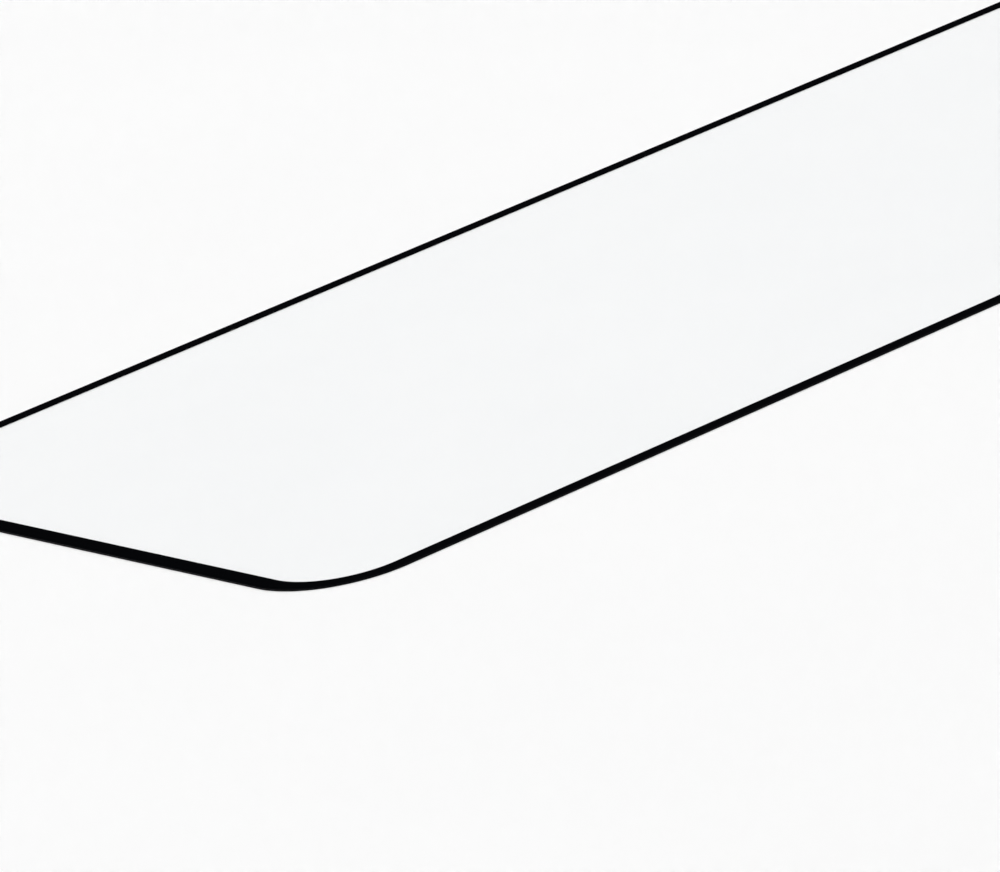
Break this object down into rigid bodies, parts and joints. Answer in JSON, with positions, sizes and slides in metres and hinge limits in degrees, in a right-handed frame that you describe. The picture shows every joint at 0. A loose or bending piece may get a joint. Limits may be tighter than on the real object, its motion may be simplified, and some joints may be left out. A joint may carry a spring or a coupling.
{
  "type": "phone screen protector",
  "caption": "Thin flat sheet of clear glass with rounded corners and an opaque black border, laid over a phone's display to guard it against scratches and knocks.",
  "frame": {"origin": "middle of the underside, the face that lies against the phone's display", "axes": "+X across the width, +Y along the length, +Z out of the outer face"},
  "size_m": [0.0662, 0.1416, 0.0001],
  "materials": {
    "glass": "clear, polished",
    "border": "opaque satin black"
  },
  "bodies": {
    "root": {"glass_pane": "glass", "black_border": "border"}
  },
  "joints": []
}
